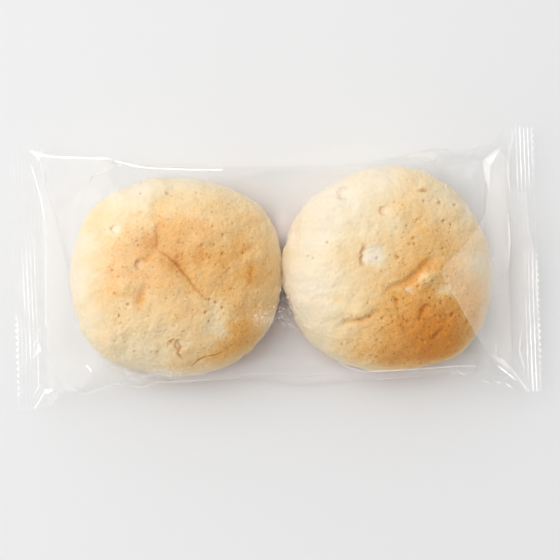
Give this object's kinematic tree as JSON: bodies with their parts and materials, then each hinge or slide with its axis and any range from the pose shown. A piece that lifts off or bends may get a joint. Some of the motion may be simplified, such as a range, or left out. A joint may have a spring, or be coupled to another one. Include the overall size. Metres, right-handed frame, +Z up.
{
  "type": "rice flour roll pack",
  "caption": "Clear pillow pack of round baked rice flour rolls lying side by side, with crimped and pinked end seals; rests flat.",
  "frame": {"origin": "under the middle of the pack, on the surface it lies on", "axes": "+X along the pack from seal to seal, +Y across it, +Z up"},
  "size_m": [0.216, 0.109, 0.0386],
  "materials": {
    "clear_film": "clear packing film, glossy, over the crust",
    "crust": "baked rice flour crust, golden on top and pale at the sides, satin"
  },
  "bodies": {
    "root": {"roll_pack": "clear_film"}
  },
  "joints": []
}
